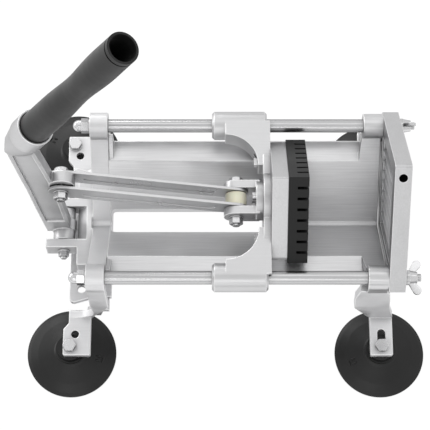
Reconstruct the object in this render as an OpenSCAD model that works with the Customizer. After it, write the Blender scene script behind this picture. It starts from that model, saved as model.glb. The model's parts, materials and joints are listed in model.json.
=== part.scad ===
// Lever-operated vegetable slicer: a cast bed on four suction feet, a pusher that
// slides on two rods, a link-driven hand lever and a square blade grid set on its corner.
// X runs from the lever end to the blade end, Y across, Z up. Millimetres.

/* [Guide rods] */
// Diameter of the two guide rods
rod_d = 11; // [9:0.5:13]
// Distance between the rod axes
rod_spacing = 132.4; // [125:0.2:140]
// Height of the rod axes above the table
rod_h = 138; // [130:1:150]
// Diameter of the threaded rod ends
thread_d = 6; // [5:1:8]
// Length of thread that stands out past the blade frame
stud_out = 12.8; // [11:0.1:20]

/* [Bed] */
// Place of the bed's lever end, from the drawing's zero line
bed_x0 = -89; // [-95:1:-85]
// Length of the cast trough
bed_l = 227.2; // [222:0.1:240]
// Wall thickness of the castings
wall = 5; // [4:0.5:6]
// Depth of the sharp V below the rod axes
v_depth = 60; // [58:0.5:66]
// Radius along the bottom of the V
v_r = 4; // [3:0.5:12]
// Height of the side flanges below the rod axes
flange_drop = 18; // [14:0.5:22]
// Half width over the side flanges
flange_y = 60; // [56:1:62]
// Length of the raised end next to the blade frame
gusset_l = 18.4; // [18:0.1:26]
// Diameter of the two rod bosses at the blade end
boss_d = 20; // [17:0.5:22]
// Length of these bosses
boss_l = 16.5; // [14:0.1:22]
// Depth of the flat-sided seat under each of them
boss_drop = 11; // [10:0.5:12]
// Length and width of the drain window in the trough
window_l = 128; // [100:1:140]
// Width of the drain window
window_w = 20.5; // [12:0.5:24]

/* [Rear bracket] */
// Thickness of the rear bracket along the rods
bracket_t = 15; // [12:0.5:18]
// Diameter of its rod bosses
bracket_boss_d = 22; // [20:0.5:24]
// Depth of the flat-sided seat under each of them
bracket_boss_drop = 6; // [4:0.5:9]
// Height of the base block's top below the rod axes
base_top = 54.5; // [50:0.5:60]
// Height of the ear plate's top below the rod axes
ear_top = 85.5; // [80:0.5:90]
// Half width of the base block
base_y = 37.5; // [32:0.5:40]
// Length of the base block behind the bracket
base_l = 13; // [11:0.5:16]
// Half width of the ear plate
ear_y = 59.5; // [56:0.5:62]
// Distance between the two holes in the ear plate
ear_hole_dy = 99.5; // [90:0.5:104]
// Diameter of these holes
ear_hole_d = 7; // [5:0.5:8]

/* [Lever] */
// Lever pivot, behind the drawing's zero line
pivot_back = 128.8; // [126:0.1:132]
// Lever pivot, below the rod axes
pivot_drop = 64; // [62:0.5:66]
// Diameter of the pivot bolt
pivot_d = 8; // [6:1:10]
// Diameter of the lever's hub
hub_d = 18.4; // [17:0.2:20]
// Length of the hub
hub_l = 28; // [24:1:30]
// Thickness of the two pivot lugs
lug_t = 7.2; // [6:0.1:10]
// Height of these lugs
lug_h = 18.5; // [17:0.5:20]
// Length of these lugs behind the pivot
lug_l = 14.8; // [12:0.1:18]
// Thickness of the arm's web
web_t = 6; // [4:0.5:7]
// Thickness of the arm over its edge ribs
rib_t = 9; // [8:0.2:9.2]
// Width of the edge ribs
rib_w = 3.2; // [2:0.2:4.5]
// Distance of the link eye ahead of the pivot
eye_dx = 6.2; // [4:0.1:8]
// Distance of the link eye above the pivot
eye_dz = 104.5; // [100:0.5:108]

/* [Handle] */
// Lean of the handle from upright
grip_lean = 27.9; // [20:0.1:35]
// Length of the handle
grip_l = 154; // [130:1:170]
// Diameter of the handle at its collar
grip_d = 24; // [23.5:0.5:28]
// Bore of the hollow handle
grip_bore = 18; // [17:0.5:19]
// Width of the flared opening at the handle's end
grip_mouth = 19.6; // [19:0.1:20.5]
// Diameter of the collar round the handle's foot
collar_d = 28; // [27:0.5:31]
// Depth of the handle's foot in this collar
collar_in = 3; // [2:0.5:6]
// Diameter of the spigot inside the handle
spigot_d = 16; // [12:0.5:17]
// Length of this spigot
spigot_l = 30; // [20:1:50]

/* [Links] */
// Thickness of a link bar
bar_t = 2; // [1.5:0.1:2.4]
// Height of a link bar
bar_h = 20; // [17:0.5:21]
// Free space between the two bars
bar_gap = 11.2; // [11:0.1:12]
// Diameter of the bolts through the links
link_bolt_d = 6; // [5:1:8]
// Diameter of the roller between the bars
roller_d = 17.5; // [14:0.5:19]
// Width of the roller
roller_w = 10.6; // [9:0.1:10.8]
// Slot in the lever eye, below the bolt at rest
slot_down = 2.7; // [2.6:0.1:3.5]
// Slot in the lever eye, above the bolt at rest
slot_up = 7.0; // [6.9:0.1:8]

/* [Carriage] */
// Diameter of the slide bosses
slide_d = 23.5; // [22:0.5:26]
// Length of the slide bosses
slide_l = 45.5; // [36:0.5:46]
// Height of the yoke's webs
yoke_h = 21.7; // [16:0.1:23]
// Place of the pusher pivot ahead of the drawing's zero line
pin_x = 17.2; // [16:0.1:20]
// Thickness of a clevis arm
clevis_t = 6.6; // [5:0.2:8]
// Thickness of the pusher block
block_t = 13; // [10:0.5:16]
// Half diagonal of the pusher block
block_q = 53; // [50:0.5:53.5]
// Half width of the block over its cut side corners
block_y = 50.2; // [46:0.1:52]
// Wall of the slide bushes
bush_t = 2; // [1.5:0.25:2.5]
// Length of a slide bush
bush_l = 12; // [8:1:16]

/* [Cutting] */
// Number of cells across the blade grid
cells = 8; // [6:1:10]
// Side of one cell
cell = 9.525; // [9.525:0.0125:9.55]
// Width of the grooves between the pusher's teeth
groove_w = 2.3; // [1.8:0.1:3]
// Length of the pusher's teeth
tooth_l = 9.2; // [8:0.1:9.5]
// Distance between the two screws that hold the block to the yoke
block_screw_dy = 70; // [66:1:74]
// Thickness of the pad behind the teeth
pad_t = 7; // [5:0.5:9]
// Room round the pusher pad in the blade frame
pad_room = 0.9; // [0.6:0.1:1.5]
// Thickness of a blade
blade_t = 0.6; // [0.4:0.1:0.8]
// Height of a blade along X
blade_h = 5; // [4:0.5:5.2]
// Thickness of the blade frame
frame_t = 13.4; // [12:0.1:16]
// Reach of the blade frame's corners past the rod axes
frame_out = 13.4; // [12.5:0.1:16]
// Diameter of the blind hole in its edge
edge_hole_d = 7; // [5:0.5:8]
// Depth of this hole
edge_hole_l = 11; // [8:0.5:12]

/* [Feet] */
// Distance between the cup axes along the machine
cup_dx = 270; // [262:1:280]
// Distance between the cup axes across the machine
cup_dy = 187.4; // [184:0.2:192]
// Diameter of a suction cup
cup_d = 78; // [70:1:84]
// Height of a suction cup
cup_h = 21.3; // [19:0.1:24]
// Thickness of the feet
foot_t = 6; // [5:0.5:7]
// Width of a rear foot
foot_w = 23.8; // [21:0.1:26]
// Width of a front foot
front_foot_w = 19.4; // [18:0.1:24]
// Reach of the feet past the cup axes
foot_out = 8; // [6:0.5:12]
// Length of the slot in a front foot, between its end radii
slot_l = 11.7; // [8:0.1:14]
// Distance that the left front foot sits behind the right one
front_left_back = 4; // [0:0.5:6]
// Reach of a front leg's plate behind its foot, on the right
leg_wing_right = 19; // [16:0.5:20]
// The same on the left
leg_wing_left = 12; // [10:0.5:20]
// Thickness of the legs
leg_t = 6; // [5:0.5:7]

/* [Hidden] */

$fn = 64;
// Clearances and small common sizes
run_gap = 0.05;
side_gap = 0.3;
bolt_gap = 0.25;
cut = 1;
washer_t = 1.2;
nut_t = 5;
head_t = 4;
r2 = sqrt(2);
screw_d = 6;
screw_af = 10;
acorn_af = 11;
pivot_end_d = 5;
pivot_nut_af = 8;

// Places along X from the drawing's zero line, and heights from the rod axes
mid_x = 9.2;
rod_y = rod_spacing / 2;
bed_x1 = bed_x0 + bed_l;
bracket_x0 = bed_x0 - bracket_t;
plate_gap = 1.5;
plate_x0 = bed_x1 + plate_gap;
plate_x1 = plate_x0 + frame_t;
boss_x0 = plate_x0 - boss_l;
stud_x1 = plate_x1 + stud_out;
floor_z = -rod_h;
cup_top_z = floor_z + cup_h;
foot_z = cup_top_z + foot_t;
cup_x_rear = mid_x - cup_dx / 2;
cup_x_front = mid_x + cup_dx / 2;
cup_x_front_left = cup_x_front - front_left_back;
cup_y = cup_dy / 2;
frame_q = rod_y + frame_out;
leg_foot_y = rod_y + 1.1;
foot_y0 = leg_foot_y - leg_t;
ear_hole_x = bracket_x0 - 10.9;
leg_top_z = -max(boss_drop, bracket_boss_d / 2);
pivot = [-pivot_back, 0, -pivot_drop];
eye = pivot + [eye_dx, 0, eye_dz];
link_dx = pin_x - eye[0];
link_l = norm([link_dx, eye[2]]);
link_tilt = atan2(eye[2], link_dx);
pad_side = cells * cell;
opening = pad_side + 2 * pad_room;
bar_in = bar_gap / 2;
bar_out = bar_in + bar_t;
clevis_in = bar_out + side_gap;
clevis_out = clevis_in + clevis_t;
yoke_x1 = 45.5;
slide_x1 = yoke_x1 - 2.5;
slide_x0 = slide_x1 - slide_l;
block_seat = yoke_x1 - 9.5;
pad_x0 = yoke_x1 + block_t;
tooth_x0 = pad_x0 + pad_t;
grip_foot = pivot + [-3.2, 0, 218];
lug_y = hub_l / 2 + 0.7;

// Everything is drawn about the rod axes and moved here to stand on Z = 0
module home() {
    translate([-mid_x, 0, rod_h]) children();
}

// A bar or tube along X from x0 to x1
module rod_x(x0, x1, r, y = 0, z = 0) {
    translate([x0, y, z]) rotate([0, 90, 0]) cylinder(h = x1 - x0, r = r);
}

// A bar along Y from y0 to y1
module rod_y_axis(y0, y1, r, x = 0, z = 0) {
    translate([x, y1, z]) rotate([90, 0, 0]) cylinder(h = y1 - y0, r = r);
}

// A YZ outline carried along X
module along_x(x0, x1) {
    translate([x0, 0, 0]) rotate([90, 0, 90]) linear_extrude(x1 - x0) children();
}

// An XZ outline carried along Y
module along_y(y0, y1) {
    translate([0, y1, 0]) rotate([90, 0, 0]) linear_extrude(y1 - y0) children();
}

// A box from its low to its high corner
module box(lo, hi) {
    translate(lo) cube(hi - lo);
}

// A rectangle with true round corners about its centre
module round_rect(w, h, r) {
    union() {
        square([w - 2 * r, h], center = true);
        square([w, h - 2 * r], center = true);
        for (sx = [-1, 1], sy = [-1, 1])
            translate([sx * (w / 2 - r), sy * (h / 2 - r)]) circle(r);
    }
}

// A square of given half diagonal, set on its corner, with round corners
module diamond(q, r) {
    rotate(45) round_rect(q * r2, q * r2, r);
}

// A hexagon of given width across flats
module hex(af) {
    circle(d = af / cos(30), $fn = 6);
}

// The space in the V, grown outward by t, up to a given half width
module v_space(t, half, top) {
    r = v_r + t;
    c = v_r * r2 - v_depth;
    slope_z = half - v_depth - t * r2;
    polygon(concat(
        [[half, slope_z], [half, top], [-half, top], [-half, slope_z]],
        [for (a = [-135:11.25:-45]) [r * cos(a), c + r * sin(a)]]
    ));
}

// A boss round a rod axis, with a flat-sided seat below it
module rod_boss(x0, x1, d, drop, y) {
    half = d / 2 - 0.3;
    rod_x(x0, x1, d / 2, y);
    box([x0, y - half, -drop], [x1, y + half, 0]);
}

// Cast trough: V walls, side flanges, raised front end and rod bosses
module trough_bed() {
    gusset_x0 = bed_x1 - gusset_l;
    slant = 3;
    low = -2 * v_depth;
    wing_y = rod_y - rod_d / 2 - side_gap;
    color([0.80, 0.81, 0.82]) home() difference() {
        union() {
            difference() {
                union() {
                    along_x(bed_x0, bed_x1) union() {
                        intersection() {
                            v_space(wall, flange_y, 0);
                            translate([-flange_y, low]) square([2 * flange_y, -low - flange_drop]);
                        }
                        translate([-flange_y, -flange_drop - wall]) square([2 * flange_y, wall]);
                    }
                    intersection() {
                        along_x(gusset_x0, bed_x1) intersection() {
                            v_space(wall, rod_y + cut, rod_y - v_depth);
                            translate([-wing_y, low]) square([2 * wing_y, -low]);
                        }
                        along_y(-rod_y, rod_y) polygon([
                            [gusset_x0, low], [bed_x1 + cut, low], [bed_x1 + cut, cut], [gusset_x0 + slant, cut],
                            [gusset_x0, -flange_drop - wall]
                        ]);
                    }
                }
                along_x(bed_x0 - cut, bed_x1 + cut) v_space(0, rod_y + 2 * cut, rod_y);
            }
            for (s = [-1, 1]) {
                along_x(bed_x0, bed_x0 + 4) polygon([
                    [s * (v_depth - flange_drop + cut), -flange_drop - cut],
                    [s * (flange_y - 0.5), -flange_drop - cut], [s * (flange_y - 0.5), flange_y - v_depth - cut]
                ]);
                rod_boss(boss_x0, plate_x0, boss_d, boss_drop, s * rod_y);
            }
        }
        for (s = [-1, 1])
            rod_x(boss_x0 - cut, plate_x0 + cut, thread_d / 2, s * rod_y);
        trough_window();
        leg_screw_sites_front() cylinder(h = 2 * (wall - 1), d = screw_d, center = true);
    }
}

// Window along the bottom of the V, with round corners
module trough_window() {
    lip = 1.2;
    low = -v_depth - 2 * wall;
    translate([bed_x0 + lip + window_l / 2, 0, low]) linear_extrude(v_depth - flange_drop)
        round_rect(window_l, window_w, 4);
}

// Rear bracket: V-shaped wall, rod bosses, hollow base block, ear plate and the lever's lugs
module rear_bracket() {
    skin = 13;
    block_x0 = bracket_x0 - base_l;
    plate_bottom = -ear_top - foot_t;
    color([0.78, 0.79, 0.80]) home() difference() {
        union() {
            difference() {
                union() {
                    along_x(bracket_x0, bed_x0) intersection() {
                        v_space(skin, rod_y, 0);
                        translate([-rod_y, -2 * v_depth]) square([2 * rod_y, 2 * v_depth]);
                    }
                    box([block_x0, -base_y, plate_bottom], [bed_x0, base_y, -base_top]);
                }
                along_x(bracket_x0 - cut, bed_x0 + cut) v_space(0, flange_y + cut, 2 * cut);
                lever_relief(block_x0);
                box([block_x0 + wall, wall - base_y, plate_bottom - cut], [bed_x0 - wall, base_y - wall, -v_depth - 15]);
            }
            difference() {
                translate([0, 0, plate_bottom]) linear_extrude(foot_t) ear_plate();
                box([block_x0 + wall, wall - base_y, plate_bottom - cut], [bed_x0 - wall, base_y - wall, cut - ear_top]);
            }
            for (s = [-1, 1]) {
                rod_boss(bracket_x0, bed_x0, bracket_boss_d, bracket_boss_drop, s * rod_y);
                along_y(s > 0 ? lug_y : -lug_y - lug_t, s > 0 ? lug_y + lug_t : -lug_y) pivot_lug();
            }
        }
        for (s = [-1, 1]) {
            rod_x(bracket_x0 - cut, bed_x0 + cut, thread_d / 2, s * rod_y);
            translate([ear_hole_x, s * ear_hole_dy / 2, plate_bottom - cut])
                cylinder(h = foot_t + 2 * cut, d = ear_hole_d);
        }
        rod_y_axis(0, base_y, pivot_d / 2, pivot[0], pivot[2]);
        rod_y_axis(-base_y, 0, pivot_end_d / 2, pivot[0], pivot[2]);
        leg_screw_sites_rear() cylinder(h = 2 * foot_t - 2, d = screw_d, center = true);
    }
}

// Ear plate in plan: round corners at the lever end, and ends that slant in to the bracket
module ear_plate() {
    x0 = ear_hole_x - 10;
    r = 4;
    y0 = ear_y + 2;
    side = concat(
        [for (a = [0:22.5:90]) [x0 + r - r * cos(a), y0 - r + r * sin(a)]],
        [[bracket_x0, ear_y - 3], [bed_x0, ear_y - 3]]
    );
    polygon(concat(side, [for (i = [len(side) - 1:-1:0]) [side[i][0], -side[i][1]]]));
}

// Sloped relief in the base block, where the lever's root swings
module lever_relief(block_x0) {
    drop = 8;
    along_y(-lug_y, lug_y) polygon([
        [block_x0 - cut, -base_top - drop - cut], [block_x0 - cut, cut - base_top],
        [block_x0 + drop, cut - base_top], [block_x0 + drop, -base_top]
    ]);
}

// Outline of one lug about the lever pivot
module pivot_lug() {
    translate([pivot[0] - lug_l, -base_top - lug_h])
        square([bracket_x0 - pivot[0] + lug_l, lug_h]);
}

// One guide rod with a thread at each end
module guide_rod(s) {
    in_nut = 7;
    color([0.86, 0.87, 0.88]) home() union() {
        rod_x(bed_x0, boss_x0, rod_d / 2, s * rod_y);
        rod_x(bracket_x0 - washer_t - in_nut, bed_x0, thread_d / 2, s * rod_y);
        rod_x(boss_x0, stud_x1, thread_d / 2, s * rod_y);
    }
}

module guide_rod_left() {
    guide_rod(1);
}

module guide_rod_right() {
    guide_rod(-1);
}

// Domed nuts on the rods' rear threads
module acorn_nuts() {
    x1 = bracket_x0 - washer_t;
    hex_l = 6;
    neck_l = 8.3;
    dome_r = 4.9;
    color([0.86, 0.87, 0.88]) home() for (s = [-1, 1]) difference() {
        translate([x1, s * rod_y, 0]) rotate([0, -90, 0]) union() {
            linear_extrude(hex_l) hex(acorn_af);
            cylinder(h = neck_l, r = dome_r);
            translate([0, 0, neck_l]) sphere(dome_r);
        }
        rod_x(x1 - 7, x1 + cut, thread_d / 2, s * rod_y);
    }
}

// Flat ring about an axis along X
module washer_x(x0, y, hole, outer) {
    difference() {
        rod_x(x0, x0 + washer_t, outer / 2, y);
        rod_x(x0 - cut, x0 + washer_t + cut, hole / 2, y);
    }
}

module rod_washers() {
    color([0.80, 0.81, 0.82]) home() for (s = [-1, 1])
        washer_x(bracket_x0 - washer_t, s * rod_y, thread_d, 2 * thread_d);
}

// Where the screws pass through the rear legs' flanges and into the ear plate
module leg_screw_sites_rear() {
    for (s = [-1, 1])
        translate([bed_x0 - bracket_t / 2, s * (ear_y - 10), -ear_top - foot_t]) children();
}

// Where the screws pass through the front legs and into the trough's flanges
module leg_screw_sites_front() {
    for (s = [-1, 1])
        translate([bed_x1 - gusset_l - 8, s * (flange_y - 8), -flange_drop - wall]) children();
}

// The legs' plates seen along the machine: out to a crease and back in to the foot
module leg_strip() {
    top_y = rod_y + 8.5;
    crease = [rod_y + 9, -50];
    polygon([
        [top_y, leg_top_z], crease, [leg_foot_y, cup_top_z], [foot_y0, cup_top_z],
        crease - [leg_t, 0], [top_y - leg_t, leg_top_z]
    ]);
}

// Rear leg: flange under the ear plate, plate below the rod boss, rib and foot
module rear_leg(s) {
    x0 = bracket_x0 - 0.3;
    x1 = bed_x0 - 0.5;
    neck_x0 = cup_x_rear - 1.2;
    neck_x1 = cup_x_rear + 17.8;
    flange_z = -ear_top - 2 * foot_t;
    hole = screw_d + 2 * bolt_gap;
    color([0.80, 0.81, 0.82]) home() scale([1, s, 1]) difference() {
        union() {
            intersection() {
                along_y(foot_y0 - cut, rod_y + 10) polygon([
                    [x0, leg_top_z], [x1, leg_top_z], [x1, -57], [x1 - 1.5, -64], [x1 - 8.5, -83],
                    [x1 - 13.5, -99], [neck_x1, cup_top_z], [neck_x0, cup_top_z], [neck_x0, foot_z],
                    [x0 - 12, foot_z + 1], [x0 - 6, foot_z + 5], [x0 - 2, foot_z + 11], [x0, foot_z + 19]
                ]);
                along_x(neck_x0, x1) leg_strip();
            }
            along_y(foot_y0 - 3, foot_y0 + 3) polygon([
                [x0, flange_z], [x1 - 6, flange_z], [x1 - 10, cup_top_z], [neck_x1 - 3, cup_top_z],
                [neck_x1 - 3, foot_z]
            ]);
            box([x0 + 2, ear_y - 18, flange_z], [x1 - 1.5, foot_y0 + 5, flange_z + foot_t]);
            foot(cup_x_rear - 5.8, foot_w, neck_x0, neck_x1);
        }
        leg_screw_sites_rear() translate([0, 0, -foot_t - cut]) cylinder(h = foot_t + 2 * cut, d = hole);
        translate([cup_x_rear, cup_y, cup_top_z - cut]) cylinder(h = foot_t + 2 * cut, d = hole);
        translate([cup_x_rear + 4.5, cup_y - 10.6, cup_top_z - cut])
            cylinder(h = foot_t + 2 * cut, d = screw_d + 0.9);
    }
}

// Foot: a square-ended tab over its suction cup, and a neck that runs in under the leg's plate
module foot(x0, w, neck_x0, neck_x1) {
    y1 = cup_y + foot_out;
    tab_y0 = leg_foot_y + 11.2;
    step = neck_x0 - x0;
    r = 1.5;
    translate([0, 0, cup_top_z]) linear_extrude(foot_t) union() {
        translate([x0, tab_y0]) square([w, y1 - tab_y0 - r]);
        translate([x0 + r, tab_y0]) square([w - 2 * r, y1 - tab_y0]);
        for (x = [x0 + r, x0 + w - r])
            translate([x, y1 - r]) circle(r);
        polygon([
            [neck_x0, foot_y0], [neck_x1, foot_y0], [x0 + w, tab_y0 + cut], [x0, tab_y0 + cut],
            [x0, tab_y0], [neck_x0, tab_y0 - step - cut]
        ]);
    }
}

module rear_leg_left() {
    rear_leg(1);
}

module rear_leg_right() {
    rear_leg(-1);
}

// Front leg: flange under the trough's side, plate below the rod boss, and foot
module front_leg(s, foot_x, wing) {
    flange_z = -flange_drop - wall - foot_t;
    x1 = plate_x0 - 0.2;
    side_x0 = cup_x_front - front_foot_w / 2 - 0.1;
    side_x1 = side_x0 + front_foot_w;
    neck_x0 = foot_x - front_foot_w / 2 - 0.1;
    neck_x1 = neck_x0 + front_foot_w;
    slot_r = screw_d / 2 + 0.5;
    color([0.80, 0.81, 0.82]) home() scale([1, s, 1]) difference() {
        union() {
            intersection() {
                along_y(foot_y0 - cut, rod_y + 10) polygon([
                    [x1, leg_top_z], [x1, -13.5], [x1 + 3.3, -18.5], [x1 + 4.9, -34],
                    [x1 + 6, -50], [x1 + 9.5, -80], [neck_x1, foot_z + 3], [neck_x1, cup_top_z],
                    [neck_x0, cup_top_z], [neck_x0, foot_z], [neck_x0 - 3, foot_z + 7], [neck_x0 - 8, foot_z + 22],
                    [side_x0 + 2.5 - wing, -64], [side_x0 + 1 - wing, -56], [side_x0 - wing, -30],
                    [side_x0 + 3 - wing, leg_top_z]
                ]);
                along_x(side_x0 - wing - cut, side_x1) leg_strip();
            }
            box([bed_x1 - gusset_l - 18, flange_y - 16, flange_z], [x1 - 4, flange_y, flange_z + foot_t]);
            box([bed_x1 - gusset_l + 1, flange_y - cut, flange_z], [x1 - 4, rod_y + 4, flange_z + foot_t]);
            foot(neck_x0, front_foot_w, neck_x0, neck_x1);
        }
        leg_screw_sites_front() translate([0, 0, -foot_t - cut])
            cylinder(h = foot_t + 2 * cut, d = screw_d + 2 * bolt_gap);
        translate([foot_x, 0, cup_top_z - cut]) linear_extrude(foot_t + 2 * cut) union() {
            translate([-slot_r, cup_y - slot_l]) square([2 * slot_r, slot_l]);
            for (y = [cup_y - slot_l, cup_y])
                translate([0, y]) circle(slot_r);
        }
    }
}

module front_leg_left() {
    front_leg(1, cup_x_front_left, leg_wing_left);
}

module front_leg_right() {
    front_leg(-1, cup_x_front, leg_wing_right);
}

// A hexagon-headed screw pointing up from under its head, or down when flipped
module hex_screw(d, af, length, head) {
    union() {
        translate([0, 0, -head]) linear_extrude(head) hex(af);
        cylinder(h = length, d = d);
    }
}

module leg_screws() {
    color([0.75, 0.76, 0.77]) home() {
        leg_screw_sites_rear() translate([0, 0, -foot_t])
            hex_screw(screw_d, screw_af, 2 * foot_t - 1, 4);
        leg_screw_sites_front() translate([0, 0, -foot_t])
            hex_screw(screw_d, screw_af, foot_t + wall - 1, 4);
    }
}

// The four cup axes, standing at the top of the cups
module at_cup(x, y) {
    translate([x, y, cup_top_z]) children();
}

// Suction cup: thin bell, neck with a ring, hollow below, screw hole above
module suction_cup(x, y) {
    r = cup_d / 2;
    neck_r = 11;
    color([0.12, 0.12, 0.13]) home() at_cup(x, y) rotate_extrude($fn = 96) difference() {
        union() {
            polygon([
                [0, -cup_h], [r, -cup_h], [r, 1.4 - cup_h], [r - 3, 3.2 - cup_h], [r - 10, 6.4 - cup_h],
                [r - 18, 9.3 - cup_h], [neck_r + 4, 11.6 - cup_h], [neck_r, 14 - cup_h], [neck_r, 0], [0, 0]
            ]);
            translate([0, 15.2 - cup_h]) square([neck_r + 2, 2.6]);
        }
        translate([0, -9]) square([screw_d / 2, 9 + cut]);
        polygon([[0, -cup_h - cut], [r - 1, -cup_h - cut], [r - 2.4, 0.8 - cup_h], [r - 11, 3.8 - cup_h],
            [r - 20, 6.4 - cup_h], [6, 8.4 - cup_h], [0, 8.4 - cup_h]]);
    }
}

module suction_cup_rear_left() {
    suction_cup(cup_x_rear, cup_y);
}

module suction_cup_rear_right() {
    suction_cup(cup_x_rear, -cup_y);
}

// This cup's screw sits at the inner end of its slot, the others sit at the outer end
module suction_cup_front_left() {
    suction_cup(cup_x_front_left, cup_y - slot_l);
}

module suction_cup_front_right() {
    suction_cup(cup_x_front, -cup_y);
}

// Children at all four cup axes
module each_cup() {
    for (at = [
        [cup_x_rear, cup_y], [cup_x_rear, -cup_y], [cup_x_front_left, cup_y - slot_l], [cup_x_front, -cup_y]
    ])
        at_cup(at[0], at[1]) children();
}

module cup_screws() {
    color([0.80, 0.81, 0.82]) home() each_cup() translate([0, 0, foot_t + washer_t]) rotate([180, 0, 0])
        hex_screw(screw_d, screw_af, foot_t + washer_t + 9, 4);
}

module cup_washers() {
    color([0.80, 0.81, 0.82]) home() each_cup() translate([0, 0, foot_t]) difference() {
        cylinder(h = washer_t, d = 2 * screw_d);
        translate([0, 0, -cut]) cylinder(h = washer_t + 2 * cut, d = screw_d);
    }
}

// Shoulder bolt through the lugs and the lever's hub, with a thinner threaded end
module pivot_bolt() {
    y1 = lug_y + lug_t;
    color([0.80, 0.81, 0.82]) home() union() {
        rod_y_axis(-lug_y, y1, pivot_d / 2, pivot[0], pivot[2]);
        rod_y_axis(-y1 - 7.5, cut - lug_y, pivot_end_d / 2, pivot[0], pivot[2]);
        translate([pivot[0], y1, pivot[2]]) rotate([-90, 0, 0]) linear_extrude(5) hex(13);
    }
}

module pivot_nut() {
    y1 = lug_y + lug_t;
    color([0.80, 0.81, 0.82]) home() difference() {
        translate([pivot[0], -y1, pivot[2]]) rotate([90, 0, 0]) union() {
            cylinder(h = washer_t, d = 2 * pivot_end_d);
            translate([0, 0, washer_t]) linear_extrude(4.5) hex(pivot_nut_af);
        }
        rod_y_axis(-y1 - 10, -y1 + cut, pivot_end_d / 2, pivot[0], pivot[2]);
    }
}

// Side outline of the lever, from hub to elbow
function arm_line(t) = [pivot[0], pivot[2]] + (t < 0.5
    ? [-4.2 - 11 * t, 202 * t]
    : [-9.7 - 17 * (t - 0.5), 101 + 176 * (t - 0.5)]);
function arm_width(t) = 20.7 + 3 * sin(180 * min(1, t)) - 0.5 * t;

module arm_outline(inset, t0, t1) {
    steps = 8;
    ts = [for (i = [0:steps]) t0 + (t1 - t0) * i / steps];
    front = [for (t = ts) arm_line(t) + [arm_width(t) / 2 - inset, 0]];
    back = [for (i = [steps:-1:0]) arm_line(ts[i]) - [arm_width(ts[i]) / 2 - inset, 0]];
    polygon(concat(front, back));
}

// Outline of the eye that holds the link bolt: a slot's length taller than a disc
module eye_outline(r) {
    union() {
        translate([eye[0] + cut, eye[2] - slot_down]) circle(r);
        translate([eye[0] + cut, eye[2] + slot_up]) circle(r);
        translate([eye[0] + cut - r, eye[2] - slot_down]) square([2 * r, slot_down + slot_up]);
    }
}

// The arm between hub and elbow, with a shallow pocket in each side between its edge ribs
module ribbed_arm() {
    difference() {
        along_y(-rib_t / 2, rib_t / 2) arm_outline(0, 0, 1);
        for (s = [-1, 1])
            along_y(s > 0 ? web_t / 2 : -rib_t, s > 0 ? rib_t : -web_t / 2)
                arm_outline(rib_w, 0.12, 0.92);
    }
}

// Lever: hub, ribbed arm with the links' eye, elbow, and the collar and spigot of the handle
module lever_arm() {
    slot_r = link_bolt_d / 2 + 1.5;
    elbow_r = 11;
    collar_l = 14;
    lean = [sin(grip_lean), 0, cos(grip_lean)];
    collar = grip_foot - collar_l * lean;
    color([0.79, 0.80, 0.81]) home() union() {
        difference() {
            union() {
                ribbed_arm();
                along_y(-rib_t / 2 - 0.2, rib_t / 2 + 0.2) union() {
                    eye_outline(bar_h / 2);
                    translate([pivot[0], pivot[2]]) circle(hub_d / 2 + 1);
                }
                rod_y_axis(-hub_l / 2, hub_l / 2, hub_d / 2, pivot[0], pivot[2]);
                hull() {
                    rod_y_axis(-rib_t / 2 - 0.4, rib_t / 2 + 0.4, elbow_r, arm_line(0.98)[0], arm_line(0.98)[1], $fn = 32);
                    translate(collar) rotate([0, grip_lean, 0]) cylinder(h = 1, d = collar_d - 0.6, $fn = 32);
                }
                translate(collar) rotate([0, grip_lean, 0]) cylinder(h = collar_l + collar_in, d = collar_d);
            }
            rod_y_axis(-hub_l, hub_l, pivot_d / 2 + bush_t, pivot[0], pivot[2]);
            along_y(-rib_t, rib_t) eye_outline(slot_r);
            translate(grip_foot) rotate([0, grip_lean, 0]) cylinder(h = collar_in + cut, d = grip_d + 2 * side_gap);
        }
        translate(grip_foot - cut * lean) rotate([0, grip_lean, 0]) cylinder(h = cut + spigot_l, d = spigot_d);
    }
}

// Plain bush pressed into the lever's hub
module lever_bush() {
    color([0.72, 0.55, 0.32]) home() difference() {
        rod_y_axis(-hub_l / 2, hub_l / 2, pivot_d / 2 + bush_t, pivot[0], pivot[2]);
        rod_y_axis(-hub_l, hub_l, pivot_d / 2 + run_gap, pivot[0], pivot[2]);
    }
}

// Radius of the handle at a share t of its length: a waist and then a palm swell
function grip_r(t) = grip_d / 2 - 1.5 * exp(-pow((t - 0.52) / 0.16, 2))
    + 0.3 * exp(-pow((t - 0.78) / 0.12, 2)) - 0.5 * t;

// Hollow handle: narrow round the spigot, wide above it, with a flared mouth and a groove below its rim
module hand_grip() {
    steps = 20;
    play = 2;
    mouth_l = 6;
    groove_z = grip_l - 4.4;
    color([0.10, 0.10, 0.11]) home() translate(grip_foot) rotate([0, grip_lean, 0]) difference() {
        rotate_extrude() polygon(concat(
            [[0, 0]],
            [for (i = [0:steps]) [grip_r(i / steps), grip_l * i / steps]],
            [[0, grip_l]]
        ));
        translate([0, 0, -cut]) cylinder(h = spigot_l + play + 2 * cut, d = spigot_d);
        translate([0, 0, spigot_l + play]) cylinder(h = grip_l, d = grip_bore);
        translate([0, 0, grip_l - mouth_l])
            cylinder(h = mouth_l + 0.01, d1 = grip_bore, d2 = grip_mouth);
        translate([0, 0, groove_z]) difference() {
            cylinder(h = 1.2, d = grip_d + 2);
            translate([0, 0, -cut]) cylinder(h = 4, r = grip_r(0.97) - 0.7);
        }
    }
}

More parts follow.
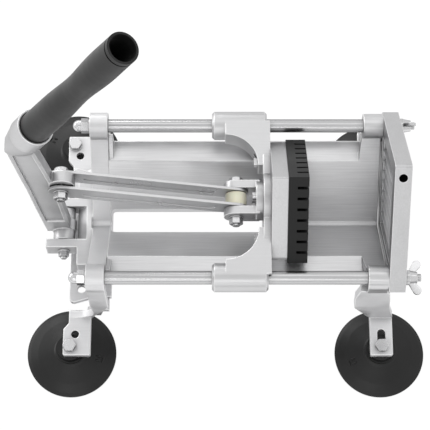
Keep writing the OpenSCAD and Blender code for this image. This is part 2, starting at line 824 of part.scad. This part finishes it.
// A link bar from the pusher pivot back to the lever eye, along -X before it is tilted
module link_bar(y0, hole_front, hole_eye) {
    groove = 0.6;
    color([0.82, 0.83, 0.84]) home() translate([pin_x, 0, 0]) rotate([0, link_tilt, 0]) difference() {
        along_y(y0, y0 + bar_t) difference() {
            union() {
                circle(d = bar_h);
                translate([-link_l, 0]) circle(d = bar_h);
                translate([-link_l, -bar_h / 2]) square([link_l, bar_h]);
            }
            circle(r = hole_front);
            translate([-link_l, 0]) circle(r = hole_eye);
        }
        for (y = [y0 - groove, y0 + bar_t - groove])
            along_y(y, y + 2 * groove) translate([-link_l / 2, 0]) round_rect(link_l - 36, 8, 3.99);
    }
}

module link_bar_left() {
    link_bar(bar_in, link_bolt_d / 2 + run_gap, link_bolt_d / 2);
}

module link_bar_right() {
    link_bar(-bar_out, link_bolt_d / 2 + run_gap, link_bolt_d / 2);
}

// A cross bolt with its head on the left, and the washers and nut that go with it
module cross_bolt(x, z, y_seat, turn) {
    translate([x, 0, z]) rotate([0, turn, 0]) union() {
        rod_y_axis(-y_seat - washer_t - nut_t - 1.5, y_seat + washer_t, link_bolt_d / 2);
        translate([0, y_seat + washer_t, 0]) rotate([-90, 0, 0]) intersection() {
            linear_extrude(head_t) hex(screw_af);
            translate([0, 0, -head_t]) sphere(9);
        }
    }
}

module cross_washers(x, z, y_seat) {
    for (s = [-1, 1])
        translate([x, s > 0 ? y_seat + washer_t : -y_seat, z]) rotate([90, 0, 0]) difference() {
            cylinder(h = washer_t, d = 2 * link_bolt_d);
            translate([0, 0, -cut]) cylinder(h = washer_t + 2 * cut, d = link_bolt_d);
        }
}

module cross_nut(x, z, y_seat, turn) {
    translate([x, -y_seat - washer_t, z]) rotate([90, turn, 0]) difference() {
        linear_extrude(nut_t) hex(screw_af);
        translate([0, 0, -cut]) cylinder(h = nut_t + 2 * cut, d = link_bolt_d);
    }
}

module eye_bolt() {
    color([0.84, 0.85, 0.86]) home() cross_bolt(eye[0], eye[2], bar_out, link_tilt);
}

module eye_washers() {
    color([0.80, 0.81, 0.82]) home() cross_washers(eye[0], eye[2], bar_out);
}

module eye_nut() {
    color([0.84, 0.85, 0.86]) home() cross_nut(eye[0], eye[2], bar_out, link_tilt);
}

module link_bolt() {
    color([0.84, 0.85, 0.86]) home() cross_bolt(pin_x, 0, clevis_out, 0);
}

module link_washers() {
    color([0.80, 0.81, 0.82]) home() cross_washers(pin_x, 0, clevis_out);
}

module link_nut() {
    color([0.84, 0.85, 0.86]) home() cross_nut(pin_x, 0, clevis_out, 0);
}

// Nylon roller on the bolt between the two bars
module link_roller() {
    color([0.86, 0.84, 0.72]) home() difference() {
        rod_y_axis(-roller_w / 2, roller_w / 2, roller_d / 2, pin_x);
        rod_y_axis(-roller_w, roller_w, link_bolt_d / 2 + run_gap, pin_x);
    }
}

// Yoke: two slide bosses joined by curved webs and a centre plate
module carriage_yoke() {
    plate_t = 6;
    sweep_r = 27;
    bevel = 2;
    color([0.80, 0.81, 0.82]) home() difference() {
        union() {
            for (s = [-1, 1])
                translate([slide_x0, s * rod_y, 0]) rotate([0, 90, 0]) union() {
                    translate([0, 0, bevel]) cylinder(h = slide_l - 2 * bevel, d = slide_d);
                    cylinder(h = bevel, d1 = slide_d - 2 * bevel, d2 = slide_d);
                    translate([0, 0, slide_l - bevel]) cylinder(h = bevel, d1 = slide_d, d2 = slide_d - 2 * bevel);
                }
            translate([0, 0, slide_d / 2 - yoke_h]) linear_extrude(yoke_h) difference() {
                for (s = [-1, 1])
                    translate([yoke_x1 - sweep_r - 10, s > 0 ? sweep_r : -rod_y])
                        square([sweep_r + 10, rod_y - sweep_r]);
                for (s = [-1, 1])
                    translate([yoke_x1 - sweep_r - 10, s * sweep_r]) circle(sweep_r);
            }
            along_x(yoke_x1 - plate_t, yoke_x1) round_rect(2 * sweep_r + 24, yoke_h + 4, 6);
            rod_x(yoke_x1 - plate_t, yoke_x1, 23);
        }
        for (s = [-1, 1]) {
            rod_x(slide_x0 - cut, yoke_x1 + cut, rod_d / 2 + run_gap + bush_t, s * rod_y);
            rod_x(block_seat - sweep_r, block_seat, 6.2, s * block_screw_dy / 2);
            rod_x(0, yoke_x1 + cut, screw_d / 2, s * block_screw_dy / 2);
        }
        clevis_screw_sites() rod_x(0, yoke_x1, screw_d / 2 - 1);
    }
}

// Plain bushes in the slide bosses
module slide_bushes() {
    color([0.35, 0.33, 0.30]) home() for (s = [-1, 1], x = [slide_x0, slide_x1 - bush_l]) difference() {
        rod_x(x, x + bush_l, rod_d / 2 + run_gap + bush_t, s * rod_y);
        rod_x(x - cut, x + bush_l + cut, rod_d / 2 + run_gap, s * rod_y);
    }
}

// Where the clevis is screwed to the yoke's centre plate
module clevis_screw_sites() {
    for (z = [-1, 1])
        translate([0, 0, z * 11.5]) children();
}

// Clevis: two arms on a round base
module clevis() {
    base_x1 = yoke_x1 - 6;
    base_t = 6;
    color([0.79, 0.80, 0.81]) home() difference() {
        union() {
            rod_x(base_x1 - base_t, base_x1, 16.5);
            for (s = [-1, 1])
                along_y(s > 0 ? clevis_in : -clevis_out, s > 0 ? clevis_out : -clevis_in) union() {
                    translate([pin_x, 0]) circle(d = bar_h);
                    translate([pin_x, -bar_h / 2]) square([base_x1 - base_t / 2 - pin_x, bar_h]);
                }
        }
        rod_y_axis(-clevis_out - cut, clevis_out + cut, link_bolt_d / 2, pin_x);
        clevis_screw_sites() rod_x(0, yoke_x1, screw_d / 2 - 1);
    }
}

module clevis_screws() {
    base_x0 = yoke_x1 - 12;
    color([0.75, 0.76, 0.77]) home() clevis_screw_sites() union() {
        rod_x(base_x0, yoke_x1, screw_d / 2 - 1);
        rod_x(base_x0 - 3, base_x0, 3.4);
    }
}

// The screws that hold the block to the yoke
module pusher_screws() {
    color([0.84, 0.85, 0.86]) home() for (s = [-1, 1])
        translate([block_seat, s * block_screw_dy / 2, 0]) rotate([0, 90, 0])
            hex_screw(screw_d, screw_af, pad_x0 - 3 - block_seat, head_t);
}

// Block between the yoke and the pad, set on its corner, with its side corners cut off
module pusher_block() {
    color([0.80, 0.81, 0.82]) home() difference() {
        along_x(yoke_x1, pad_x0) intersection() {
            diamond(block_q, 2);
            square([2 * block_y, 2 * block_q], center = true);
        }
        for (s = [-1, 1])
            rod_x(yoke_x1 - cut, pad_x0 - 3, screw_d / 2, s * block_screw_dy / 2);
    }
}

// Pusher pad: a plate with a square tooth for each cell of the blade grid
module pusher_pad() {
    color([0.13, 0.13, 0.14]) home() rotate([45, 0, 0]) difference() {
        box([pad_x0, -pad_side / 2, -pad_side / 2], [tooth_x0 + tooth_l, pad_side / 2, pad_side / 2]);
        for (i = [1:cells - 1]) {
            p = i * cell - pad_side / 2;
            box([tooth_x0, p - groove_w / 2, -pad_side], [tooth_x0 + tooth_l + cut, p + groove_w / 2, pad_side]);
            box([tooth_x0, -pad_side, p - groove_w / 2], [tooth_x0 + tooth_l + cut, pad_side, p + groove_w / 2]);
        }
    }
}

// Square frame that holds the blades, with a rim step, stud holes and an edge hole
module blade_frame() {
    hole_from_corner = 11;
    seat = 2;
    edge = frame_q / r2;
    color([0.81, 0.82, 0.83]) home() difference() {
        along_x(plate_x0, plate_x1) diamond(frame_q, 3);
        rotate([45, 0, 0]) {
            box([plate_x0 - cut, -opening / 2, -opening / 2], [plate_x1 + cut, opening / 2, opening / 2]);
            box([plate_x0 - cut, -opening / 2 - 4, -opening / 2 - 4],
                [plate_x0 + 0.9, opening / 2 + 4, opening / 2 + 4]);
            for (i = [1:cells - 1]) {
                p = i * cell - pad_side / 2;
                reach = opening / 2 + seat;
                box([blade_x(0), p - blade_t / 2, -reach], [blade_x(0) + blade_h, p + blade_t / 2, reach]);
                box([blade_x(1), -reach, p - blade_t / 2], [blade_x(1) + blade_h, reach, p + blade_t / 2]);
            }
            translate([plate_x0 + frame_t / 2, edge - hole_from_corner, edge - edge_hole_l])
                cylinder(h = edge_hole_l + cut, d = edge_hole_d);
        }
        for (s = [-1, 1])
            rod_x(plate_x0 - cut, plate_x1 + cut, thread_d / 2 + bolt_gap, s * rod_y);
    }
}

// Back edge of one of the two blade layers
function blade_x(layer) = plate_x0 + 1.1 + layer * (blade_h + 0.3);

// One layer of parallel blades; turn is 0 or 90 degrees about the machine's long axis
module blade_layer(layer, turn) {
    reach = opening / 2 + 2;
    color([0.85, 0.86, 0.87]) home() rotate([45 + turn, 0, 0]) for (i = [1:cells - 1]) {
        p = i * cell - pad_side / 2;
        box([blade_x(layer), p - blade_t / 2, -reach], [blade_x(layer) + blade_h, p + blade_t / 2, reach]);
    }
}

module rear_blades() {
    blade_layer(0, 0);
}

module front_blades() {
    blade_layer(1, 90);
}

module stud_washers() {
    color([0.80, 0.81, 0.82]) home() for (s = [-1, 1])
        washer_x(plate_x1, s * rod_y, thread_d, 2 * thread_d);
}

// Wing nut about the stud, with its two wings at a given turn
module wing_nut(s, turn) {
    x0 = plate_x1 + washer_t;
    color([0.86, 0.87, 0.88]) home() difference() {
        translate([x0, s * rod_y, 0]) rotate([turn, 0, 0]) rotate([0, 90, 0]) union() {
            cylinder(h = 2.5, r = 6);
            translate([0, 0, 2.5]) cylinder(h = 6, r1 = 5.6, r2 = 4.6);
            for (w = [-1, 1])
                hull() {
                    translate([0, w * 4.5, 3.6]) rotate([0, 90, 0]) cylinder(h = 2.8, r = 2.2, center = true, $fn = 24);
                    translate([0, w * 10.8, 8.3]) rotate([0, 90, 0]) cylinder(h = 2.4, r = 3.4, center = true, $fn = 24);
                }
        }
        rod_x(x0 - cut, x0 + 14, thread_d / 2 + run_gap, s * rod_y);
    }
}

module wing_nut_left() {
    wing_nut(1, 106);
}

module wing_nut_right() {
    wing_nut(-1, 0);
}

trough_bed();
rear_bracket();
guide_rod_left();
guide_rod_right();
acorn_nuts();
rod_washers();
rear_leg_left();
rear_leg_right();
front_leg_left();
front_leg_right();
leg_screws();
suction_cup_rear_left();
suction_cup_rear_right();
suction_cup_front_left();
suction_cup_front_right();
cup_screws();
cup_washers();
pivot_bolt();
pivot_nut();
lever_arm();
lever_bush();
hand_grip();
link_bar_left();
link_bar_right();
eye_bolt();
eye_washers();
eye_nut();
carriage_yoke();
slide_bushes();
clevis();
pusher_block();
pusher_pad();
pusher_screws();
clevis_screws();
link_bolt();
link_washers();
link_nut();
link_roller();
blade_frame();
front_blades();
rear_blades();
stud_washers();
wing_nut_left();
wing_nut_right();
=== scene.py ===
"""Looks of the lever-operated vegetable slicer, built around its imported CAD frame. Metres."""

import json
import math

import bmesh
import bpy
from mathutils import Matrix, Vector


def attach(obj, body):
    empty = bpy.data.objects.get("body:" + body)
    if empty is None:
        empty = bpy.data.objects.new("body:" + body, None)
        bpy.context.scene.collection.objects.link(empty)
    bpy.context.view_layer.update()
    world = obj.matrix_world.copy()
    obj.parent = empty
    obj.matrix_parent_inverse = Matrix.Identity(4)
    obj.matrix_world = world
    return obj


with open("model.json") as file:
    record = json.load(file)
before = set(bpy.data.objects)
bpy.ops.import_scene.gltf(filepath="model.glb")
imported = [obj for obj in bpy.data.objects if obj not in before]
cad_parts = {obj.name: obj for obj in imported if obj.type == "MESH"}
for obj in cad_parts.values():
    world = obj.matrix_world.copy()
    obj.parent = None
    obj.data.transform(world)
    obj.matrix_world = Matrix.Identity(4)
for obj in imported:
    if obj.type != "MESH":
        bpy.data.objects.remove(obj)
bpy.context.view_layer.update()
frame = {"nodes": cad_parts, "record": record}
nodes = frame["nodes"]

MM = 0.001
ROD_AXES = Vector((-9.2, 0, 138.0)) * MM

# The camera, fitted to the photograph: its distance and height over the rod axes
VIEW_ELEVATION = math.radians(70.5)
VIEW_DISTANCE = 1326.3 * MM
VIEW_RISE = -11.85 * MM
LENS_MM = 135.45
SENSOR_MM = 36

# Noise as it is, or stretched into lines along X or Y
EVEN = (1, 1, 1)
ALONG_X = (0.03, 1, 1)
ALONG_Y = (1, 0.03, 1)

# Parts of a noise's range that drive tones and gloss
TONE_RANGE = (0.3, 0.7)
GLOSS_RANGE = (0.35, 0.65)

# Painted edge highlights and painted shade in hollows: how far the shade reaches from a corner, and the ranges of
# openness and of an edge's turn that they follow
PAINTED_SHADE_REACH = 7 * MM
PAINTED_SHADE_RANGE = (0.25, 0.95)
EDGE_HIGHLIGHT_RANGE = (0.90, 0.998)

# The edges that Blender rounds, and how
SHARP_ANGLE = math.radians(35)
EDGE_SEGMENTS = 3
WELD_DISTANCE = 0.002 * MM

# Faces this close to a bore's wall or floor belong to the bore
BORE_MARGIN = 0.2 * MM

# The marks moulded on the cups: each bar's distance from the cup's axis, place across and half sizes
MARK_BARS_MM = (
    (24.2, -1.9, (2.4, 1.0, 1.2)),
    (24.2, 1.7, (2.4, 1.0, 1.2)),
    (28.4, 0.0, (0.9, 3.0, 1.0)),
)
# The cup's slope under them: its height at one distance from the axis, and its fall from there outward
SLOPE_AT_MM = 24
SLOPE_HEIGHT_MM = 8.2
SLOPE_FALL = 0.37
# Where on each cup the mark is, in degrees about the cup's axis
MARK_BEARINGS = {"rear_left": 150, "rear_right": -14, "front_left": 30, "front_right": 200}

# The floor: half its width, its drop below the cups' rims, and the strength and share of the plain white it shows
FLOOR_HALF = 6.0
FLOOR_DROP = 0.3 * MM
FLOOR_GLOW = 1.06
FLOOR_SHARE = 0.88

# The dome's grey at heights from the horizon, 0, to straight up, 1
DOME = ((0.0, 0.44), (0.25, 0.89), (0.9, 0.81))

# Lamps: place, size in metres and power in watts, all aimed at one point
LAMP_AIM = (0, 0, 0.12)
LAMPS = {
    "top_softbox": ((0.0, 0.55, 1.5), (1.8, 0.5), 1.3),
    "edge_light": ((-0.2, -0.9, 1.1), (0.9, 0.2), 0.9),
    "front_softbox": ((-0.4, -1.5, 0.7), (1.3, 0.4), 0.9),
    "back_softbox": ((-0.6, 1.4, 0.8), (1.0, 0.35), 3.6),
    "left_softbox": ((-1.4, 0.7, 0.5), (1.2, 0.6), 4.5),
}


def grey(value):
    return (value, value, value)


class Shader:
    """A new material with short calls for its nodes."""

    def __init__(self, name):
        self.material = bpy.data.materials.new(name)
        self.material.use_nodes = True
        self.tree = self.material.node_tree
        self.bsdf = self.tree.nodes["Principled BSDF"]
        self.coords = self.node("ShaderNodeTexCoord").outputs["Object"]
        self.rounded = None

    def node(self, kind, **settings):
        made = self.tree.nodes.new(kind)
        for key, value in settings.items():
            setattr(made, key, value)
        return made

    def link(self, source, target):
        self.tree.links.new(source, target)

    def set(self, **values):
        """Sets the main shader's own sockets, named with _ for each space."""
        for key, value in values.items():
            self.bsdf.inputs[key.replace("_", " ")].default_value = value

    def noise(self, scale, detail, stretch=EVEN):
        mapping = self.node("ShaderNodeMapping")
        mapping.inputs["Scale"].default_value = stretch
        self.link(self.coords, mapping.inputs["Vector"])
        noise = self.node("ShaderNodeTexNoise")
        noise.inputs["Scale"].default_value = scale
        noise.inputs["Detail"].default_value = detail
        self.link(mapping.outputs["Vector"], noise.inputs["Vector"])
        return noise.outputs["Fac"]

    def ramp(self, source, low, high, part):
        """Turns a part of the source's range into low to high."""
        ramp = self.node("ShaderNodeMapRange")
        ramp.inputs["From Min"].default_value, ramp.inputs["From Max"].default_value = part
        ramp.inputs["To Min"].default_value = low
        ramp.inputs["To Max"].default_value = high
        self.link(source, ramp.inputs["Value"])
        return ramp.outputs["Result"]

    def about(self, source, middle, spread):
        """A tone that follows the source by spread to both sides of its middle."""
        return self.ramp(source, middle - spread, middle + spread, TONE_RANGE)

    def times(self, first, second):
        made = self.node("ShaderNodeMath", operation="MULTIPLY")
        self.link(first, made.inputs[0])
        self.link(second, made.inputs[1])
        return made.outputs[0]

    def round_edges_paint_light(self, crevice_shade, edge, radius):
        """Rounds the shading of edges. Gives a colour factor above 1 on edges, a painted highlight, and below 1 in
        hollows, painted shade.
        """
        bevel = self.node("ShaderNodeBevel", samples=8)
        bevel.inputs["Radius"].default_value = radius
        self.rounded = bevel.outputs["Normal"]
        turn = self.node("ShaderNodeVectorMath", operation="DOT_PRODUCT")
        self.link(self.rounded, turn.inputs[0])
        self.link(self.node("ShaderNodeNewGeometry").outputs["Normal"], turn.inputs[1])
        # Ambient occlusion darkens the colour in hollows: painted shade
        hollow_shade = self.node("ShaderNodeAmbientOcclusion", samples=6)
        hollow_shade.inputs["Distance"].default_value = PAINTED_SHADE_REACH
        # Where the rounded normal turns away from the face, the colour gets lighter: a painted highlight on edges
        edge_highlight_factor = self.ramp(turn.outputs["Value"], edge, 1, EDGE_HIGHLIGHT_RANGE)
        return self.times(self.ramp(hollow_shade.outputs["AO"], crevice_shade, 1, PAINTED_SHADE_RANGE), edge_highlight_factor)

    def paint(self, tone):
        """Base colour from a grey value, with a trace of blue."""
        scale = self.node("ShaderNodeVectorMath", operation="SCALE")
        scale.inputs[0].default_value = (1, 1, 1.01)
        self.link(tone, scale.inputs["Scale"])
        self.link(scale.outputs[0], self.bsdf.inputs["Base Color"])

    def tint(self, source, dark, light):
        """Base colour between two colours."""
        ramp = self.node("ShaderNodeValToRGB")
        for stop, position, colour in zip(ramp.color_ramp.elements, TONE_RANGE, (dark, light)):
            stop.position = position
            stop.color = (*colour, 1)
        self.link(source, ramp.inputs["Fac"])
        self.link(ramp.outputs["Color"], self.bsdf.inputs["Base Color"])

    def uneven_gloss(self, cloud, roughness, less, more):
        self.link(self.ramp(cloud, roughness - less, roughness + more, GLOSS_RANGE), self.bsdf.inputs["Roughness"])

    def bump(self, layers):
        """Layers are (height source, strength, distance in metres), the finest last."""
        normal = self.rounded
        for source, strength, distance in layers:
            bump = self.node("ShaderNodeBump")
            bump.inputs["Strength"].default_value = strength
            bump.inputs["Distance"].default_value = distance
            self.link(source, bump.inputs["Height"])
            if normal is not None:
                self.link(normal, bump.inputs["Normal"])
            normal = bump.outputs["Normal"]
        self.link(normal, self.bsdf.inputs["Normal"])


def metal(name, tone, spread, roughness, stretch=EVEN, broad=40, depth=0.08, rim=0.55, streak=0.05, rounding=0.4 * MM):
    """Bare metal: cloudy tone and gloss, and a fine grain that a small stretch draws into lines."""
    s = Shader(name)
    s.set(Metallic=1.0, Specular_Tint=(*grey(rim), 1))
    cloud = s.noise(broad, 4, stretch)
    lines = s.noise(1100, 3, stretch)
    grain = s.noise(4200, 2, stretch)
    brushed = s.times(s.about(cloud, tone, spread), s.about(lines, 1, streak))
    # The base colour is darkened in hollows and lightened on edges: painted shade and painted highlights
    s.paint(s.times(brushed, s.round_edges_paint_light(0.62, 1.6, rounding)))
    s.uneven_gloss(cloud, roughness, 0.03, 0.04)
    s.bump([(grain, depth, 0.01 * MM)])
    return s.material


def cast_metal(name, tone, roughness, skin_depth, streak=0.02):
    """Fine cast aluminium: a soft orange-peel skin with faint streaks along the pour, with painted highlights on its
    edges and painted shade in its hollows.
    """
    s = Shader(name)
    s.set(Metallic=1.0, Specular_Tint=(*grey(0.6), 1))
    cloud = s.noise(34, 4)
    skin = s.noise(520, 3)
    fine = s.noise(2600, 2)
    lines = s.noise(1000, 4, ALONG_X)
    clouded = s.times(s.about(cloud, tone, 0.03), s.about(lines, 1, streak))
    # The base colour is darkened in hollows and lightened on edges: painted shade and painted highlights
    s.paint(s.times(clouded, s.round_edges_paint_light(0.55, 1.65, 1.4 * MM)))
    s.uneven_gloss(cloud, roughness, 0.05, 0.06)
    s.bump([(cloud, 0.10, 0.8 * MM), (skin, skin_depth, 0.06 * MM), (fine, skin_depth, 0.02 * MM)])
    return s.material


def moulded(name, dark, light, roughness, grain, distance, gloss=0.5, **more):
    """Moulded plastic or rubber with a fine skin and uneven gloss. More sets further sockets of its shader."""
    s = Shader(name)
    s.set(Specular_IOR_Level=gloss, **more)
    cloud = s.noise(45, 4)
    skin = s.noise(1700, 3)
    s.tint(cloud, dark, light)
    s.uneven_gloss(cloud, roughness, 0.05, 0.07)
    s.bump([(cloud, 0.05, 0.4 * MM), (skin, grain, distance)])
    return s.material


rubber = moulded("cup_rubber", grey(0.004), grey(0.008), 0.38, 0.30, 0.05 * MM, 0.42)
# Near-black finish for the inside of a bore: painted shade
painted_bore_shade = moulded("painted_bore_shade", grey(0.004), grey(0.007), 0.7, 0.1, 0.03 * MM, 0.2)

# The finish of each of the record's material slots
FINISHES = {
    "cast_aluminium": cast_metal("cast_aluminium", 0.67, 0.40, 0.12),
    "machined_aluminium": metal("machined_aluminium", 0.63, 0.025, 0.34, ALONG_Y, broad=90, rounding=0.9 * MM),
    "polished_steel": metal("polished_steel", 0.72, 0.02, 0.14, rim=0.4),
    "stainless_steel": metal("bar_steel", 0.68, 0.01, 0.30, broad=60, depth=0.04, streak=0.015),
    "plated_fasteners": metal("plated_fasteners", 0.68, 0.02, 0.22, rim=0.45),
    "black_plastic": moulded("black_pad", grey(0.006), grey(0.010), 0.46, 0.25, 0.04 * MM, 0.35),
    "grip_black": moulded("grip_black", grey(0.005), grey(0.009), 0.42, 0.20, 0.03 * MM, 0.42,
                          Sheen_Weight=0.08, Sheen_Roughness=0.4),
    "cup_rubber": rubber,
    "nylon": moulded("nylon", (0.86, 0.84, 0.66), (0.92, 0.90, 0.74), 0.42, 0.12, 0.03 * MM,
                     Subsurface_Weight=0.15, Subsurface_Radius=(0.004, 0.003, 0.002)),
    "bronze": metal("bronze", 0.5, 0.04, 0.3),
    "dark_bush": moulded("dark_bush", grey(0.03), grey(0.05), 0.5, 0.2, 0.03 * MM),
}

# Nodes whose finish differs from their slot's
cast_leg = cast_metal("cast_leg", 0.83, 0.52, 0.12)
rod_steel = metal("rod_steel", 0.61, 0.01, 0.24, ALONG_X, depth=0.006, rim=0.2, streak=0.03)
blade_steel = metal("blade_steel", 0.78, 0.02, 0.45, ALONG_X, rounding=0.2 * MM)
NODE_FINISHES = {
    "trough_bed": cast_metal("cast_trough", 0.70, 0.34, 0.06, 0.07),
    "rear_bracket": cast_metal("cast_bracket", 0.76, 0.44, 0.10),
    "guide_rod_left": rod_steel,
    "guide_rod_right": rod_steel,
    "rear_leg_left": cast_leg,
    "rear_leg_right": cast_leg,
    "front_leg_left": cast_leg,
    "front_leg_right": cast_leg,
    "front_blades": blade_steel,
    "rear_blades": blade_steel,
}

# Edge rounding of each slot's nodes
EDGE_ROUND_MM = {
    "cast_aluminium": 0.9,
    "machined_aluminium": 0.6,
    "polished_steel": 0.3,
    "stainless_steel": 0.25,
    "plated_fasteners": 0.25,
    "black_plastic": 0.2,
    "nylon": 0.5,
}


def soften(obj, width):
    """Rounds an object's sharp edges and evens its shading, without touching its mesh."""
    weld = obj.modifiers.new("weld", "WELD")
    weld.merge_threshold = WELD_DISTANCE
    bevel = obj.modifiers.new("edge_round", "BEVEL")
    bevel.width = width
    bevel.segments = EDGE_SEGMENTS
    bevel.limit_method = "ANGLE"
    bevel.angle_limit = SHARP_ANGLE
    bevel.use_clamp_overlap = True
    even = obj.modifiers.new("even_normals", "WEIGHTED_NORMAL")
    even.keep_sharp = False
    even.weight = 60


def dress_cad_nodes():
    """Gives every CAD node its finish, and rounded edges to the nodes whose slot has an edge rounding."""
    slots = {row["node"]: row["material_slot"] for row in frame["record"]["subparts"]}
    for name, obj in nodes.items():
        slot = slots[name]
        obj.data.materials.clear()
        obj.data.materials.append(NODE_FINISHES.get(name, FINISHES[slot]))
        if slot in EDGE_ROUND_MM:
            soften(obj, EDGE_ROUND_MM[slot] * MM)


def paint_bore_shade(name, mount_name):
    """Gives the walls and floor of a node's blind bore, which the record has as a mount, a near-black finish that
    stands for the shade inside the hole: painted shade.
    """
    mount = next(row for row in frame["record"]["mounts"] if row["name"] == mount_name)
    centre = Vector(mount["pos_m"])
    axis = Vector(mount["axis"]).normalized()
    radius = mount["dims"]["r_mm"] * MM
    depth = mount["dims"]["length_mm"] * MM
    obj = nodes[name]
    obj.data.materials.append(painted_bore_shade)
    last = len(obj.data.materials) - 1
    for face in obj.data.polygons:
        step = obj.matrix_world @ face.center - centre
        along = step.dot(axis)
        if abs(along) < depth / 2 + BORE_MARGIN and (step - along * axis).length < radius + BORE_MARGIN:
            face.material_index = last


def add_to_scene(name, data):
    obj = bpy.data.objects.new(name, data)
    bpy.context.scene.collection.objects.link(obj)
    return obj


def cup_mark(name, centre, bearing):
    """Two short raised bars and a third across them, moulded on a cup's slope at a bearing in degrees."""
    out = bmesh.new()
    for along, across, size in MARK_BARS_MM:
        made = bmesh.ops.create_uvsphere(out, u_segments=20, v_segments=12, radius=MM)
        height = SLOPE_HEIGHT_MM - (along - SLOPE_AT_MM) * SLOPE_FALL
        place = Vector((along, across, height)) * MM
        for vert in made["verts"]:
            vert.co = vert.co * Vector(size) + place
    out.transform(Matrix.Translation(centre) @ Matrix.Rotation(math.radians(bearing), 4, "Z"))
    mesh = bpy.data.meshes.new(name)
    out.to_mesh(mesh)
    out.free()
    for face in mesh.polygons:
        face.use_smooth = True
    mesh.materials.append(rubber)
    return add_to_scene(name, mesh)


def mark_cups():
    for hand, bearing in MARK_BEARINGS.items():
        cup = nodes["suction_cup_" + hand]
        middle = sum((cup.matrix_world @ Vector(corner) for corner in cup.bound_box), Vector()) / 8
        mark = cup_mark("cup_mark_" + hand, Vector((middle.x, middle.y, 0)), bearing)
        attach(mark, "base")


def make_camera():
    up = Vector((0, math.sin(VIEW_ELEVATION), math.cos(VIEW_ELEVATION)))
    toward = Vector((0, -math.cos(VIEW_ELEVATION), math.sin(VIEW_ELEVATION)))
    data = bpy.data.cameras.new("camera")
    data.lens = LENS_MM
    data.sensor_width = SENSOR_MM
    data.clip_start = 0.01
    data.clip_end = 50
    camera = add_to_scene("camera", data)
    camera.location = ROD_AXES + VIEW_DISTANCE * toward + VIEW_RISE * up
    camera.rotation_euler = (math.pi / 2 - VIEW_ELEVATION, 0, 0)
    bpy.context.scene.camera = camera


def make_floor():
    """A wide pale floor. It shows the camera and mirrors mostly plain white, and a share of its shaded surface."""
    mesh = bpy.data.meshes.new("floor")
    corners = [(x * FLOOR_HALF, y * FLOOR_HALF, 0) for x, y in ((-1, -1), (1, -1), (1, 1), (-1, 1))]
    mesh.from_pydata(corners, [], [(0, 1, 2, 3)])
    floor = add_to_scene("floor", mesh)
    floor.location.z = -FLOOR_DROP
    s = Shader("floor_white")
    s.set(Base_Color=(*grey(0.9), 1), Roughness=0.8)
    path = s.node("ShaderNodeLightPath")
    either = s.node("ShaderNodeMath", operation="MAXIMUM")
    s.link(path.outputs["Is Camera Ray"], either.inputs[0])
    s.link(path.outputs["Is Glossy Ray"], either.inputs[1])
    through = s.node("ShaderNodeMath", operation="MAXIMUM")
    s.link(either.outputs[0], through.inputs[0])
    s.link(path.outputs["Is Transmission Ray"], through.inputs[1])
    share = s.node("ShaderNodeMath", operation="MULTIPLY")
    share.inputs[1].default_value = FLOOR_SHARE
    s.link(through.outputs[0], share.inputs[0])
    glow = s.node("ShaderNodeEmission")
    glow.inputs["Color"].default_value = (1, 1, 1, 1)
    glow.inputs["Strength"].default_value = FLOOR_GLOW
    mix = s.node("ShaderNodeMixShader")
    s.link(share.outputs[0], mix.inputs[0])
    s.link(s.bsdf.outputs[0], mix.inputs[1])
    s.link(glow.outputs[0], mix.inputs[2])
    s.link(mix.outputs[0], s.tree.nodes["Material Output"].inputs["Surface"])
    mesh.materials.append(s.material)


def make_world():
    """A soft studio dome: bright above, dimmer toward the horizon."""
    world = bpy.data.worlds.new("studio")
    world.use_nodes = True
    bpy.context.scene.world = world
    tree = world.node_tree
    coords = tree.nodes.new("ShaderNodeTexCoord")
    split = tree.nodes.new("ShaderNodeSeparateXYZ")
    ramp = tree.nodes.new("ShaderNodeValToRGB")
    tree.links.new(coords.outputs["Generated"], split.inputs[0])
    tree.links.new(split.outputs["Z"], ramp.inputs["Fac"])
    horizon, middle, top = DOME
    stops = ramp.color_ramp.elements
    stops[0].position, stops[0].color = horizon[0], (*grey(horizon[1]), 1)
    stops[1].position, stops[1].color = top[0], (*grey(top[1]), 1)
    stops.new(middle[0]).color = (*grey(middle[1]), 1)
    tree.links.new(ramp.outputs["Color"], tree.nodes["Background"].inputs["Color"])


def make_lamps():
    for name, (place, size, power) in LAMPS.items():
        data = bpy.data.lights.new(name, "AREA")
        data.shape = "RECTANGLE"
        data.size, data.size_y = size
        data.energy = power
        lamp = add_to_scene(name, data)
        lamp.location = place
        lamp.rotation_euler = (Vector(LAMP_AIM) - Vector(place)).to_track_quat("-Z", "Y").to_euler()


dress_cad_nodes()
# The blade frame's bore gets a near-black finish: painted shade
paint_bore_shade("blade_frame", "edge_hole")
mark_cups()
make_camera()
make_floor()
make_world()
make_lamps()

bpy.context.scene.view_settings.view_transform = "Standard"
